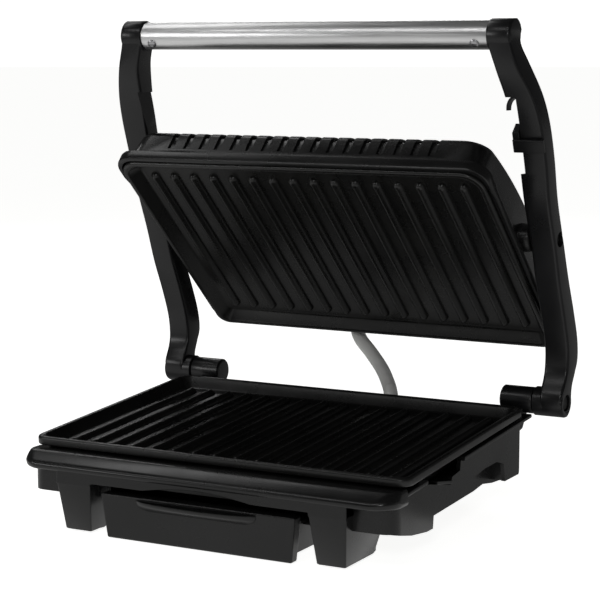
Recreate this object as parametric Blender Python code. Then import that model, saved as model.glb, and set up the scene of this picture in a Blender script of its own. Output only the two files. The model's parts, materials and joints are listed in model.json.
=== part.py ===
"""Panini press, shown open: a base with a ribbed plate and a drip tray, and a lid hung between two arms.

Frame: +X to the right hand of the person using it, +Y to the back, +Z up, the ground at z = 0.
Lengths are written in millimetres and turned into metres when a mesh is made.
Three local frames are used: the base (ground below the lower plate's centre), the arms (origin on the
hinge axis) and the lid (origin on the lid's pivot axis, plate lying flat with its ribs facing down).
"""
import math

import bmesh
import bpy
from mathutils import Matrix, Vector

MM = 0.001
GAP = 0.3                       # clearance between touching pieces

# ---- driving dimensions -------------------------------------------------------------------------
PLATE_Y = -28.2                 # centre of the lower plate in the part's frame
PLATE_Z = 52.5                  # height of the rib tops at the plate's centre
TILT = math.radians(3.8)        # the lower plate falls towards the drip tray
PLATE_HX = 122.0                # half width of a plate over its rim
PLATE_HY = 84.5                 # half depth of a plate over its rim
PLATE_R = 8.0                   # corner radius of a plate
RIM_TOP = 4.2                   # rim above the rib tops
RIM_BOTTOM = -0.8
FLOOR = -3.0                    # channel floor below the rib tops
PLATE_UNDER = -6.2
RIB_COUNT = 16
RIB_PITCH = 14.0
RIB_HALF = 69.0
HEATER_R = 3.2
HEATER_Z = -9.8
REFLECTOR_Z = -14.0

HINGE_Y = 101.3                 # hinge axis behind the plate's centre
HINGE_Z = 63.3                  # hinge axis above the ground
HINGE_R = 9.0
PIN_R = 3.0
BORE_R = 3.35

PIVOT_DY = -21.4                # lid pivot from the hinge axis
PIVOT_DZ = 102.4
LID_ANGLE = math.radians(-42.6)  # the lid's plate, front edge up
PIVOT_S = -5.76                 # lid pivot in the lid's own plan, from the plate's centre
PIVOT_H = 14.68                 # lid pivot above the lid plate's rib tops

TUBE_DY = -65.0                 # handle tube from the hinge axis
TUBE_DZ = 222.4
TUBE_R = 8.4
TUBE_WALL = 0.9
TUBE_HALF = 116.7

WALL = 2.4                      # moulded wall thickness
BODY_HX = 118.0
BODY_FRONT = -92.0
BODY_REAR = 90.0
SKIRT_Z = 12.0                  # blank of the base's skirt, before its lower edge is cut
FOOT_H = 1.2                    # rubber feet


# ---- materials ----------------------------------------------------------------------------------
def material(name, color, roughness, metallic=0.0):
    mat = bpy.data.materials.new(name)
    mat.use_nodes = True
    shader = mat.node_tree.nodes["Principled BSDF"]
    shader.inputs["Base Color"].default_value = (*color, 1.0)
    shader.inputs["Roughness"].default_value = roughness
    shader.inputs["Metallic"].default_value = metallic
    return mat


def all_materials():
    return {
        "shell": material("black_gloss_plastic", (0.018, 0.018, 0.02), 0.28),
        "arm": material("black_satin_plastic", (0.016, 0.016, 0.018), 0.38),
        "coat": material("non_stick_coating", (0.014, 0.014, 0.014), 0.3, 0.2),
        "steel": material("brushed_steel", (0.62, 0.62, 0.62), 0.28, 1.0),
        "zinc": material("plated_steel", (0.55, 0.55, 0.56), 0.35, 1.0),
        "sheet": material("aluminised_sheet", (0.6, 0.6, 0.6), 0.4, 1.0),
        "heater": material("heater_sheath", (0.2, 0.19, 0.18), 0.5, 1.0),
        "hose": material("silver_hose", (0.6, 0.6, 0.6), 0.35, 0.8),
        "rubber": material("black_rubber", (0.02, 0.02, 0.02), 0.8),
        "ceramic": material("white_ceramic", (0.75, 0.73, 0.68), 0.6),
        "red": material("red_lens", (0.6, 0.03, 0.02), 0.2),
        "green": material("green_lens", (0.04, 0.4, 0.08), 0.2),
    }


# ---- mesh helpers (all in millimetres until make()) ------------------------------------------------
def make(name, bm, mat, frame):
    """Turn the bmesh into an object of the given name, placed in a local frame (an empty)."""
    bmesh.ops.scale(bm, vec=(MM, MM, MM), verts=bm.verts)
    bmesh.ops.recalc_face_normals(bm, faces=bm.faces)
    mesh = bpy.data.meshes.new(name)
    bm.to_mesh(mesh)
    bm.free()
    mesh.materials.append(mat)
    mesh.shade_smooth()
    mesh.set_sharp_from_angle(angle=math.radians(35))
    obj = bpy.data.objects.new(name, mesh)
    bpy.context.scene.collection.objects.link(obj)
    obj.parent = frame
    return obj


def frame_at(name, y, z, angle=0.0, parent=None):
    """An empty whose X axis is the machine's; moving pieces hang on it."""
    empty = bpy.data.objects.new(name, None)
    empty.location = (0.0, y * MM, z * MM)
    empty.rotation_euler = (angle, 0.0, 0.0)
    empty.parent = parent
    bpy.context.scene.collection.objects.link(empty)
    return empty


def modify(obj, bm, operation, label):
    """Cut a tool out of the object, or join it on."""
    tool = make(f"{label}_tool", bm, obj.data.materials[0], obj.parent)
    tool.hide_render = True
    tool.display_type = "WIRE"
    mod = obj.modifiers.new(label, "BOOLEAN")
    mod.operation = operation
    mod.solver = "EXACT"
    mod.object = tool


def loft(bm, rings):
    """Skin closed rings of equal length and cap both ends."""
    loops = [[bm.verts.new(p) for p in ring] for ring in rings]
    count = len(loops[0])
    for lower, upper in zip(loops, loops[1:]):
        for i in range(count):
            j = (i + 1) % count
            bm.faces.new((lower[i], lower[j], upper[j], upper[i]))
    bm.faces.new(reversed(loops[0]))
    bm.faces.new(loops[-1])


def box(bm, low, high):
    """Axis-aligned box between two corners."""
    (x0, y0, z0), (x1, y1, z1) = low, high
    ring = [(x0, y0), (x1, y0), (x1, y1), (x0, y1)]
    loft(bm, [[(x, y, z) for x, y in ring] for z in (z0, z1)])


def wedge(bm, bottom, top, z0, z1):
    """Tapered block: bottom and top are (x0, x1, y0, y1) at heights z0 and z1."""
    rings = []
    for (x0, x1, y0, y1), z in ((bottom, z0), (top, z1)):
        rings.append([(x0, y0, z), (x1, y0, z), (x1, y1, z), (x0, y1, z)])
    loft(bm, rings)


def side_prism(bm, outline, x0, x1):
    """Outline in (y, z), run along X."""
    loft(bm, [[(x, y, z) for y, z in outline] for x in (x0, x1)])


def circle(radius, sides, phase=0.0):
    turn = 2 * math.pi / sides
    return [(radius * math.cos(phase + i * turn), radius * math.sin(phase + i * turn)) for i in range(sides)]


def turned(bm, profile, axis, centre, sides=20):
    """Solid turned about an axis through centre; profile is a list of (distance along, radius)."""
    rings = []
    for along, radius in profile:
        ring = []
        for a, b in circle(radius, sides):
            point = {"X": (along, a, b), "Y": (a, along, b), "Z": (a, b, along)}[axis]
            ring.append(tuple(p + c for p, c in zip(point, centre)))
        rings.append(ring)
    loft(bm, rings)


def rounded(hx, y0, y1, r_front, r_rear, steps=5):
    """Rounded rectangle from -hx to hx and y0 to y1, as (x, y) points."""
    corners = (
        (hx - r_rear, y1 - r_rear, r_rear, 0),
        (-hx + r_rear, y1 - r_rear, r_rear, 90),
        (-hx + r_front, y0 + r_front, r_front, 180),
        (hx - r_front, y0 + r_front, r_front, 270),
    )
    points = []
    for cx, cy, radius, start in corners:
        for k in range(steps + 1):
            a = math.radians(start + 90 * k / steps)
            points.append((cx + radius * math.cos(a), cy + radius * math.sin(a)))
    return points


def ring_at(outline, height):
    """Lift an (x, y) outline to a height, which may depend on y."""
    return [(x, y, height(y) if callable(height) else height) for x, y in outline]


def smooth_path(points, per_span):
    """Catmull-Rom curve through the points."""
    pts = [Vector(p) for p in points]
    pts = [2 * pts[0] - pts[1]] + pts + [2 * pts[-1] - pts[-2]]
    out = []
    for i in range(1, len(pts) - 2):
        for k in range(per_span):
            t = k / per_span
            a, b, c, d = pts[i - 1:i + 3]
            out.append(0.5 * (2 * b + (c - a) * t + (2 * a - 5 * b + 4 * c - d) * t ** 2
                              + (3 * b - a - 3 * c + d) * t ** 3))
    out.append(pts[-2])
    return out


def tube_along(name, points, radius, mat, frame, resolution=2):
    """Round bar along a list of points, as a bevelled curve with filled ends."""
    curve = bpy.data.curves.new(name, "CURVE")
    curve.dimensions = "3D"
    curve.bevel_depth = radius * MM
    curve.bevel_resolution = resolution
    curve.use_fill_caps = True
    spline = curve.splines.new("POLY")
    spline.points.add(len(points) - 1)
    for slot, point in zip(spline.points, points):
        slot.co = (*(Vector(point) * MM), 1.0)
    curve.materials.append(mat)
    obj = bpy.data.objects.new(name, curve)
    bpy.context.scene.collection.objects.link(obj)
    obj.parent = frame
    return obj


# ---- heating plates -------------------------------------------------------------------------------
def plate_mesh():
    """Cast plate: a rim round a flat channel floor, flat underside."""
    def outline(inset, radius=PLATE_R):
        r = max(radius - inset * 0.5, 3.0)
        hy = PLATE_HY - inset
        return rounded(PLATE_HX - inset, -hy, hy, r, r)

    bm = bmesh.new()
    loft(bm, [
        ring_at(outline(9.0), PLATE_UNDER),
        ring_at(outline(6.0), RIM_BOTTOM - 1.5),
        ring_at(outline(3.5), RIM_BOTTOM),
        ring_at(outline(0.0), RIM_BOTTOM),
        ring_at(outline(0.0), RIM_TOP - 1.0),
        ring_at(outline(0.9), RIM_TOP),
        ring_at(outline(2.8), RIM_TOP),
        ring_at(outline(8.0), FLOOR),
    ])
    return bm


def rib_bars(half_length):
    """Sixteen rounded bars with ball ends, standing on the channel floor."""
    bm = bmesh.new()
    root = FLOOR - 0.8
    ends = ((0.0, 0.35), (0.6, 0.72), (2.0, 0.94), (4.5, 1.0))
    stations = [(-half_length - 1.5 + d, s) for d, s in ends]
    stations += [(half_length + 1.5 - d, s) for d, s in reversed(ends)]
    for k in range(RIB_COUNT):
        x = (k - (RIB_COUNT - 1) / 2) * RIB_PITCH
        rings = []
        for y, s in stations:
            top = FLOOR + 0.1 + (0.3 - FLOOR) * s
            section = ((-3.1 * s, root), (3.1 * s, root), (2.2 * s, top - 1.4), (0.9 * s, top),
                       (-0.9 * s, top), (-2.2 * s, top - 1.4))
            rings.append([(x + a, y, b) for a, b in section])
        loft(bm, rings)
    return bm


def make_plate(name, mat, frame, half_length, drain):
    plate = make(name, plate_mesh(), mat, frame)
    modify(plate, rib_bars(half_length), "UNION", f"{name}_ribs")
    if drain:
        slot = bmesh.new()
        box(slot, (-6, -75.6, PLATE_UNDER - 2), (6, -73.2, 2))
        modify(plate, slot, "DIFFERENCE", f"{name}_drain")
    return plate


def heater_path():
    """Open loop of heater tube below a plate, its two ends at the back."""
    hx, hy, r = 88.0, 54.0, 22.0
    path = [(-22.0, hy + 8.0), (-40.0, hy)]
    for cx, cy, start in ((-hx + r, hy - r, 90), (-hx + r, -hy + r, 180), (hx - r, -hy + r, 270), (hx - r, hy - r, 360)):
        for k in range(4):
            a = math.radians(start + 30 * k)
            path.append((cx + r * math.cos(a), cy + r * math.sin(a)))
    path += [(40.0, hy), (22.0, hy + 8.0)]
    return [(x, y, HEATER_Z) for x, y in path]


def make_heater(name, mat, frame):
    return tube_along(name, heater_path(), HEATER_R, mat, frame)


def make_reflector(name, mat, frame):
    """Thin dished sheet behind the heater."""
    bm = bmesh.new()
    rings = [
        ring_at(rounded(106, -70, 74, 8, 8, 2), REFLECTOR_Z),
        ring_at(rounded(109, -73, 77, 9, 9, 2), REFLECTOR_Z + 5.5),
        ring_at(rounded(108.2, -72.2, 76.2, 9, 9, 2), REFLECTOR_Z + 5.5),
        ring_at(rounded(105.4, -69.4, 73.4, 8, 8, 2), REFLECTOR_Z + 0.6),
    ]
    loft(bm, rings)
    sheet = make(name, bm, mat, frame)
    hole = bmesh.new()
    box(hole, (-10, -78, REFLECTOR_Z - 2), (10, -67, REFLECTOR_Z + 8))
    modify(sheet, hole, "DIFFERENCE", f"{name}_notch")
    return sheet


# ---- base -----------------------------------------------------------------------------------------
def wall_top(y):
    """Upper edge of the base's walls, parallel to the tilted plate."""
    return PLATE_Z - 4.2 + math.tan(TILT) * y


def floor_under(y):
    return PLATE_Z - 17.0 + math.tan(TILT) * y


def base_tub():
    """Side walls with a floor part way up, parallel to the plate."""
    outer = rounded(BODY_HX, BODY_FRONT, BODY_REAR, 9, 5)
    inner = rounded(BODY_HX - WALL, BODY_FRONT + WALL, BODY_REAR - WALL, 9 - WALL, 5 - WALL)
    bm = bmesh.new()
    loft(bm, [
        ring_at(inner, lambda y: floor_under(y) + 2.1),
        ring_at(inner, wall_top),
        ring_at(outer, wall_top),
        ring_at(outer, SKIRT_Z),
        ring_at(inner, SKIRT_Z),
        ring_at(inner, floor_under),
    ])
    return bm


def front_lip():
    """Sloping fascia under the plate's front rim, with rounded ends."""
    bm = bmesh.new()
    loft(bm, [
        ring_at(rounded(119.5, -101.2, -84, 14, 1.5), 36.6),
        ring_at(rounded(120.8, -101.8, -84, 14, 1.5), 38.2),
        ring_at(rounded(120.8, -101.2, -84, 14, 1.5), 39.8),
        ring_at(rounded(120.2, -93.5, -84, 7, 1.5), 44.6),
        ring_at(rounded(119.4, -91.2, -84, 5, 1.5), 45.2),
    ])
    return bm


def lip_relief():
    """Clears the fascia away behind the tub's front wall, under the plate."""
    bm = bmesh.new()
    box(bm, (-BODY_HX + WALL + 0.5, -88.6, 34.0), (BODY_HX - WALL - 0.5, -70, 60))
    return bm


def front_apron():
    """Panel above the tray and the tops of the front legs."""
    outline = [(-94, 37.5), (-93.6, 28.8), (-70.8, 28.8), (-70.5, 30.9), (-35, 30.9)]
    arc = [(-35 + 70 * k / 8, 30.9 + 3.6 * math.sin(math.pi * k / 8)) for k in range(1, 8)]
    outline += arc + [(35, 30.9), (70.5, 30.9), (70.8, 28.8), (93.6, 28.8), (94, 37.5)]
    bm = bmesh.new()
    loft(bm, [[(x, y, z) for x, z in outline] for y in (-100.9, -90.6)])
    return bm


def leg(side):
    """Front leg: narrower and further back at the bottom."""
    bm = bmesh.new()
    foot = (73.4, 91.2, -95.9, -61.0)
    head = (70.6, 93.8, -100.8, -50.5)
    z_foot, z_head = FOOT_H + GAP, 30.4
    wedge(bm, foot, head, z_foot, z_head)
    cut = bmesh.new()
    wedge(cut, (75.4, 89.2, -93.4, -55.0), (72.8, 91.6, -98.2, -40.0), z_foot + 2.4, z_head - 2.2)
    for mesh in (bm, cut):
        for vert in mesh.verts:
            vert.co.x *= side
    return bm, cut


def side_flange(side):
    """Thin lip along the top of the side wall."""
    front, rear = -80.0, 99.5
    drop = 2.4
    outline = [(front, wall_top(front) - drop), (rear, wall_top(rear) - drop), (rear, wall_top(rear)),
               (front, wall_top(front))]
    bm = bmesh.new()
    side_prism(bm, outline, side * (BODY_HX - 1.2), side * (BODY_HX + 2.4))
    return bm


def tray_rail(side):
    """Angle rail that carries the drip tray's edge."""
    rings = []
    for y in (-88.0, -12.0):
        top = floor_under(y) + 1.2
        outline = [(66.4, top), (66.4, 20.4), (60.6, 20.4), (60.6, 22.0), (64.8, 22.0), (64.8, top)]
        rings.append([(side * x, y, z) for x, z in outline])
    bm = bmesh.new()
    loft(bm, rings)
    return bm


def tray_bay():
    """Opening in the front wall for the tray."""
    bm = bmesh.new()
    box(bm, (-70.4, -95, 10), (70.4, -88.4, 30.6))
    return bm


SKIRT_EDGE = (
    (-110, 22), (-90, 21.5), (-70, 17), (-50, 14.5), (-42, 14.5), (-41, 21.7), (15, 23.8), (28.6, 25.3),
    (15.5, 32), (32, 33.9), (50, 34.3), (61, 30.8), (63, 19.8), (85, 19.8), (88, 24.1), (100, 24.1),
)


CATCH_OPENING = ((-54, 42), (-40, 39), (-18, 34.4), (-16, 38.6), (-5, 40), (-3.5, 50), (-54, 50))


def skirt_cut():
    """Shapes the skirt's lower edge: deeper beside the front legs, with a hand grip near the back."""
    bm = bmesh.new()
    side_prism(bm, [(100, 5), (-110, 5)] + list(SKIRT_EDGE), -130, 130)
    return bm


def make_base(mats, frame):
    housing = make("base_housing", base_tub(), mats["shell"], frame)
    modify(housing, skirt_cut(), "DIFFERENCE", "base_skirt")
    modify(housing, tray_bay(), "DIFFERENCE", "base_bay")
    modify(housing, front_lip(), "UNION", "base_lip")
    modify(housing, lip_relief(), "DIFFERENCE", "base_relief")
    modify(housing, front_apron(), "UNION", "base_apron")
    for side, word in ((-1, "left"), (1, "right")):
        block, pocket = leg(side)
        modify(housing, block, "UNION", f"base_leg_{word}")
        modify(housing, pocket, "DIFFERENCE", f"base_pocket_{word}")
        modify(housing, side_flange(side), "UNION", f"base_flange_{word}")
        modify(housing, tray_rail(side), "UNION", f"base_rail_{word}")
    opening = bmesh.new()
    side_prism(opening, CATCH_OPENING, 115.0, 124.0)
    modify(housing, opening, "DIFFERENCE", "base_catch_opening")
    catch = bmesh.new()
    side_prism(catch, [(-40, 37.6), (-17, 33.4), (-17, 36.6), (-40, 40.8)], 115.9, 118.9)
    modify(housing, catch, "UNION", "base_catch")
    holes = bmesh.new()
    box(holes, (-6, -78.0, 20), (6, -71.0, 45))
    box(holes, (8, BODY_REAR - WALL - 2, 43.5), (30, BODY_REAR + 3, 49.5))
    modify(housing, holes, "DIFFERENCE", "base_holes")


def make_feet(mats, frame):
    places = {
        "foot_front_left": (-82.3, -78.5), "foot_front_right": (82.3, -78.5),
        "foot_rear_left": (-69.0, 74.0), "foot_rear_right": (69.0, 74.0),
    }
    for name, (x, y) in places.items():
        bm = bmesh.new()
        turned(bm, [(0.0, 6.0), (FOOT_H - 0.4, 6.6), (FOOT_H, 6.6)], "Z", (x, y, 0.0), 16)
        make(name, bm, mats["rubber"], frame)


def make_bottom_cover(mats, frame):
    """Closes the wiring space at the back and stands on two cord-wrap legs."""
    bm = bmesh.new()
    box(bm, (-104, -6, 22.5), (104, 84, 24.2))
    cover = make("bottom_cover", bm, mats["shell"], frame)
    front = bmesh.new()
    box(front, (-104, -6, 24.0), (104, -4.2, 34.6))
    modify(cover, front, "UNION", "cover_front")
    for side, word in ((-1, "left"), (1, "right")):
        post = bmesh.new()
        wedge(post, (61, 77, 65, 83), (58, 80, 62, 83.8), FOOT_H + GAP, 23.0)
        for vert in post.verts:
            vert.co.x *= side
        modify(cover, post, "UNION", f"cover_leg_{word}")
    bores = bmesh.new()
    for x, y in SCREW_PLACES:
        turned(bores, [(20.0, 3.4), (23.1, 3.4), (23.1, 1.8), (40.0, 1.8)], "Z", (x, y, 0.0), 12)
    modify(cover, bores, "DIFFERENCE", "cover_bores")
    for index, (x, y) in enumerate(SCREW_PLACES, 1):
        screw = bmesh.new()
        turned(screw, [(22.0, 2.0), (22.3, 3.0), (23.0 - 0.25, 3.0), (23.0 - 0.25, 1.4), (33.0, 1.4)], "Z", (x, y, 0.0), 12)
        make(f"cover_screw_{index}", screw, mats["zinc"], frame)


SCREW_PLACES = ((-92.0, 6.0), (92.0, 6.0), (-92.0, 74.0), (92.0, 74.0))


def make_wiring(mats, frame):
    """Thermostat, thermal fuse and terminal block in the space above the bottom cover."""
    bm = bmesh.new()
    turned(bm, [(25.0, 6.5), (31.0, 6.5), (31.6, 8.5), (33.2, 8.5)], "Z", (38.0, 30.0, 0.0), 16)
    make("thermostat", bm, mats["ceramic"], frame)
    bm = bmesh.new()
    turned(bm, [(-9.0, 1.0), (-6.0, 1.0), (-5.4, 2.2), (5.4, 2.2), (6.0, 1.0), (9.0, 1.0)], "X", (0.0, 30.0, 28.0), 12)
    make("thermal_fuse", bm, mats["zinc"], frame)
    bm = bmesh.new()
    box(bm, (-52, 24, 24.6), (-22, 36, 33.0))
    make("terminal_block", bm, mats["ceramic"], frame)


def make_cable_cover(mats, frame):
    """Box on the back wall that takes the mains lead in and the hose out."""
    y0, y1 = BODY_REAR + GAP, 112.0
    bm = bmesh.new()
    box(bm, (-34, y0, 27.0), (46, y1, 52.0))
    cover = make("rear_cable_cover", bm, mats["shell"], frame)
    space = bmesh.new()
    box(space, (-31.8, y0 - 2, 25.0), (43.8, y1 - 2.2, 49.8))
    modify(cover, space, "DIFFERENCE", "cable_cover_space")
    holes = bmesh.new()
    turned(holes, [(45.0, 6.0), (55.0, 6.0)], "Z", (HOSE_X, HOSE_Y, 0.0))
    turned(holes, [(107.5, 5.2), (115.0, 5.2)], "Y", (-12.0, 0.0, 38.0))
    modify(cover, holes, "DIFFERENCE", "cable_cover_holes")

    ring = bmesh.new()
    sleeve(ring, [(46.0, 5.7), (52.3, 5.7), (52.3, 7.6), (54.8, 7.0)], 4.85, "Z", (HOSE_X, HOSE_Y, 0.0))
    make("hose_gland_base", ring, mats["rubber"], frame)
    inlet = bmesh.new()
    sleeve(inlet, [(108.0, 4.9), (112.3, 4.9), (112.3, 6.6), (114.5, 6.0)], 3.6, "Y", (-12.0, 0.0, 38.0))
    make("mains_inlet_gland", inlet, mats["rubber"], frame)


def sleeve(bm, profile, bore, axis, centre, sides=20):
    """Turned piece with a plain hole through it."""
    first, last = profile[0][0], profile[-1][0]
    loops = [(first, bore)] + list(profile) + [(last, bore)]
    rings = []
    for along, radius in loops:
        ring = []
        for a, b in circle(radius, sides):
            point = {"X": (along, a, b), "Y": (a, along, b), "Z": (a, b, along)}[axis]
            ring.append(bm.verts.new(tuple(p + c for p, c in zip(point, centre))))
        rings.append(ring)
    for lower, upper in zip(rings, rings[1:] + rings[:1]):
        for i in range(sides):
            j = (i + 1) % sides
            bm.faces.new((lower[i], lower[j], upper[j], upper[i]))


def make_hinges(mats, frame):
    """Knuckles on the back corners of the base, and the pins through them."""
    for side, word in ((-1, "left"), (1, "right")):
        block = bmesh.new()
        turned(block, [(101.0, 7.4), (101.8, 8.2), (121.9, 8.2)], "X", (0.0, HINGE_Y, HINGE_Z), 24)
        stem = bmesh.new()
        side_prism(stem, [(BODY_REAR + GAP, 45.5), (95.4, 46.4), (99.9, 52.0), (HINGE_Y + 6.2, HINGE_Z - 2),
                          (HINGE_Y - 5, HINGE_Z), (BODY_REAR + 3.6, 54.5), (BODY_REAR + GAP, 54.5)], 103.0, 116.0)
        bore = bmesh.new()
        turned(bore, [(90.0, BORE_R), (130.0, BORE_R)], "X", (0.0, HINGE_Y, HINGE_Z), 24)
        pin = bmesh.new()
        turned(pin, [(101.4, PIN_R - 0.4), (101.8, PIN_R), (139.0, PIN_R), (139.0, 4.6), (140.6, 4.6), (141.2, 3.8)], "X",
               (0.0, HINGE_Y, HINGE_Z), 24)
        for mesh in (block, stem, bore, pin):
            for vert in mesh.verts:
                vert.co.x *= side
        knuckle = make(f"{word}_hinge_block", block, mats["arm"], frame)
        modify(knuckle, stem, "UNION", f"{word}_hinge_stem")
        modify(knuckle, bore, "DIFFERENCE", f"{word}_hinge_bore")
        make(f"{word}_hinge_pin", pin, mats["zinc"], frame)


HOSE_X = 24.0
HOSE_Y = 101.0


# ---- arms -----------------------------------------------------------------------------------------
FLARE = 0.6
# Stations up an arm, from the hinge barrel to the grip: front and back edge at a height above the hinge
# axis (as offsets in y from it), then the inner and outer face in x.
ARM_STATIONS = (
    (-8.8, 8.4, 7.0, 127.6, 142.2),
    (-3.5, 11.8, 16.0, 127.6, 142.8),
    (-1.2, 15.0, 24.0, 127.6, 143.2),
    (-2.6, 13.2, 37.0, 127.9, 143.5),
    (-9.6, 5.6, 55.0, 127.9, 143.6),
    (-19.4, -4.8, 76.0, 127.9, 143.7),
    (-28.0, -14.8, 99.0, 127.9, 143.8),
    (-39.1, -25.8, 125.0, 127.4, 143.8),
    (-47.5, -34.4, 150.8, 127.0, 144.5),
    (-55.5, -42.0, 172.2, 125.6, 144.0),
    (-62.4, -47.8, 188.2, 123.8, 141.4),
    (-70.3, -53.4, 204.2, 121.0, 135.8),
)


def arm_ring(front, back, inner, outer, soft=2.2):
    """Eight-sided section; front and back are (y, z) points, the outer face flares slightly to the back."""
    fy, fz = front
    by, bz = back
    depth = math.hypot(by - fy, bz - fz)
    uy, uz = (by - fy) / depth, (bz - fz) / depth

    def at(x, along):
        return (x, fy + uy * along, fz + uz * along)

    return [
        at(inner, soft), at(inner + soft, 0.0), at(outer - soft, 0.0), at(outer, soft),
        at(outer + FLARE, depth - soft), at(outer + FLARE - soft, depth), at(inner + soft, depth), at(inner, depth - soft),
    ]


def arm_mesh(side):
    """Boomerang bar with a barrel round the hinge pin at one end and a socket for the tube at the other."""
    rings = []
    for a in (-100, -72, -45, -15):
        c, s = math.cos(math.radians(a)), math.sin(math.radians(a))
        rings.append(arm_ring((-HINGE_R * c, HINGE_R * s), (HINGE_R * c, HINGE_R * s), 127.6, 141.6)
                     if abs(c) > 0.3 else None)
    rings = [ring for ring in rings if ring]
    for front, back, height, inner, outer in ARM_STATIONS:
        lean = 0.22 * (back - front)
        rings.append(arm_ring((front, height - lean * 0.5), (back, height + lean * 0.5), inner, outer))
    head_r = 9.5
    for a in (-30, 20, 55, 78):
        c, s = math.cos(math.radians(a)), math.sin(math.radians(a))
        rings.append(arm_ring((TUBE_DY - head_r * c, TUBE_DZ + head_r * s), (TUBE_DY + head_r * c, TUBE_DZ + head_r * s),
                              117.0, 130.8, soft=2.2 if a < 60 else 1.2))
    bm = bmesh.new()
    loft(bm, [[(side * x, y, z) for x, y, z in ring] for ring in rings])
    return bm


NOTCH_X = 130.7
SCREW_TIP = math.radians(35)


def tip_down(bm):
    """Turn a handle screw, drawn facing the user, down round the tube's axis."""
    bmesh.ops.rotate(bm, cent=(0.0, TUBE_DY, TUBE_DZ), matrix=Matrix.Rotation(SCREW_TIP, 3, "X"), verts=bm.verts)


def make_arms(mats, frame):
    for side, word in ((-1, "left"), (1, "right")):
        arm = make(f"{word}_arm", arm_mesh(side), mats["arm"], frame)
        barrel = bmesh.new()
        turned(barrel, [(122.3, HINGE_R - 0.6), (123.0, HINGE_R), (141.4, HINGE_R), (142.2, HINGE_R - 0.8)], "X", (0, 0, 0), 24)
        collar = bmesh.new()
        turned(collar, [(103.0, 7.1), (117.0, 7.1), (117.0, 9.5), (129.4, 9.5), (131.2, 8.0)], "X", (0, TUBE_DY, TUBE_DZ), 24)
        bores = bmesh.new()
        turned(bores, [(-14.0, 1.5), (-3.0, 1.5)], "Y", (109.0, TUBE_DY, TUBE_DZ), 10)
        tip_down(bores)
        turned(bores, [(115.0, BORE_R), (138.6, BORE_R), (138.6, 5.2), (150.0, 5.2)], "X", (0, 0, 0), 24)
        turned(bores, [(120.0, 2.9), (139.4, 2.9), (139.4, 4.6), (150.0, 4.6)], "X", (0, PIVOT_DY, PIVOT_DZ), 20)
        notch = bmesh.new()
        box(notch, (118, -80, 142), (NOTCH_X if side == 1 else 126.3, -10, 187))
        for mesh in (barrel, collar, bores, notch):
            for vert in mesh.verts:
                vert.co.x *= side
        modify(arm, barrel, "UNION", f"{word}_barrel")
        modify(arm, collar, "UNION", f"{word}_collar")
        modify(arm, notch, "DIFFERENCE", f"{word}_notch")
        modify(arm, bores, "DIFFERENCE", f"{word}_bores")

        pin = bmesh.new()
        turned(pin, [(117.6, 2.0), (118.0, 2.5), (139.8, 2.5), (139.8, 4.1), (141.6, 4.1), (142.2, 3.4)], "X",
               (0, PIVOT_DY, PIVOT_DZ), 20)
        for vert in pin.verts:
            vert.co.x *= side
        make(f"{word}_lid_pin", pin, mats["zinc"], frame)

        screw = bmesh.new()
        turned(screw, [(-TUBE_R - 0.9, 1.6), (-TUBE_R - 0.4, 2.8), (-TUBE_R + 0.5, 2.8), (-TUBE_R + 0.5, 1.15), (-3.6, 1.15)],
               "Y", (side * 109.0, TUBE_DY, TUBE_DZ), 12)
        tip_down(screw)
        make(f"{word}_handle_screw", screw, mats["zinc"], frame)

    tube = bmesh.new()
    sleeve(tube, [(-TUBE_HALF, TUBE_R), (TUBE_HALF, TUBE_R)], TUBE_R - TUBE_WALL, "X", (0, TUBE_DY, TUBE_DZ), 32)
    handle = make("handle_tube", tube, mats["steel"], frame)
    holes = bmesh.new()
    for side in (-1, 1):
        turned(holes, [(-12.0, 3.2), (-6.0, 3.2)], "Y", (side * 109.0, TUBE_DY, TUBE_DZ), 12)
    tip_down(holes)
    modify(handle, holes, "DIFFERENCE", "handle_holes")


def make_latch(mats, frame):
    """Lock slider on the right arm: a band across its front and a block that rides in the arm's notch."""
    lean = math.atan2(55.5 - 47.5, 172.2 - 150.8)
    axis = frame_at("latch_frame", -50.3, 160.0, lean, frame)
    bm = bmesh.new()
    box(bm, (126.2, -4.0, -4.0), (145.1, -1.6, 4.0))
    slider = make("latch_slider", bm, mats["arm"], axis)
    block = bmesh.new()
    box(block, (126.2, -3.0, -3.6), (NOTCH_X - GAP, 10.0, 11.0))
    modify(slider, block, "UNION", "latch_block")


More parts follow.
